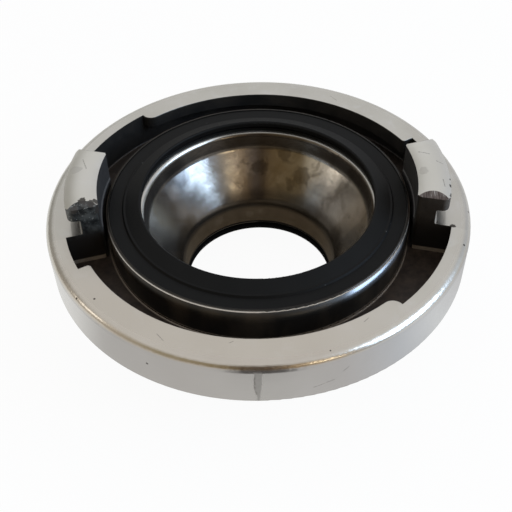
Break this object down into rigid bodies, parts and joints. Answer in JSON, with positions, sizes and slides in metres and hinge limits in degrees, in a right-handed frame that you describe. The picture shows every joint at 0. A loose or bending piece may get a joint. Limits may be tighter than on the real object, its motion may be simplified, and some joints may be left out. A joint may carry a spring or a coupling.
{
  "type": "hose coupling reducer",
  "caption": "Rigid round reducing adapter that joins a large and a small hooked-lug hose coupling, with a rubber lip seal in each end.",
  "frame": {"origin": "centre of the large ring's flat face, on the bore's axis", "axes": "+Z along the bore's axis, out of the large end; the lugs of both ends stand on the X axis"},
  "size_m": [0.122, 0.122, 0.0515],
  "materials": {
    "metal": "turned",
    "rubber": "satin"
  },
  "bodies": {
    "root": {"adapter_body": "metal", "large_gasket": "rubber", "small_gasket": "rubber"}
  },
  "joints": []
}
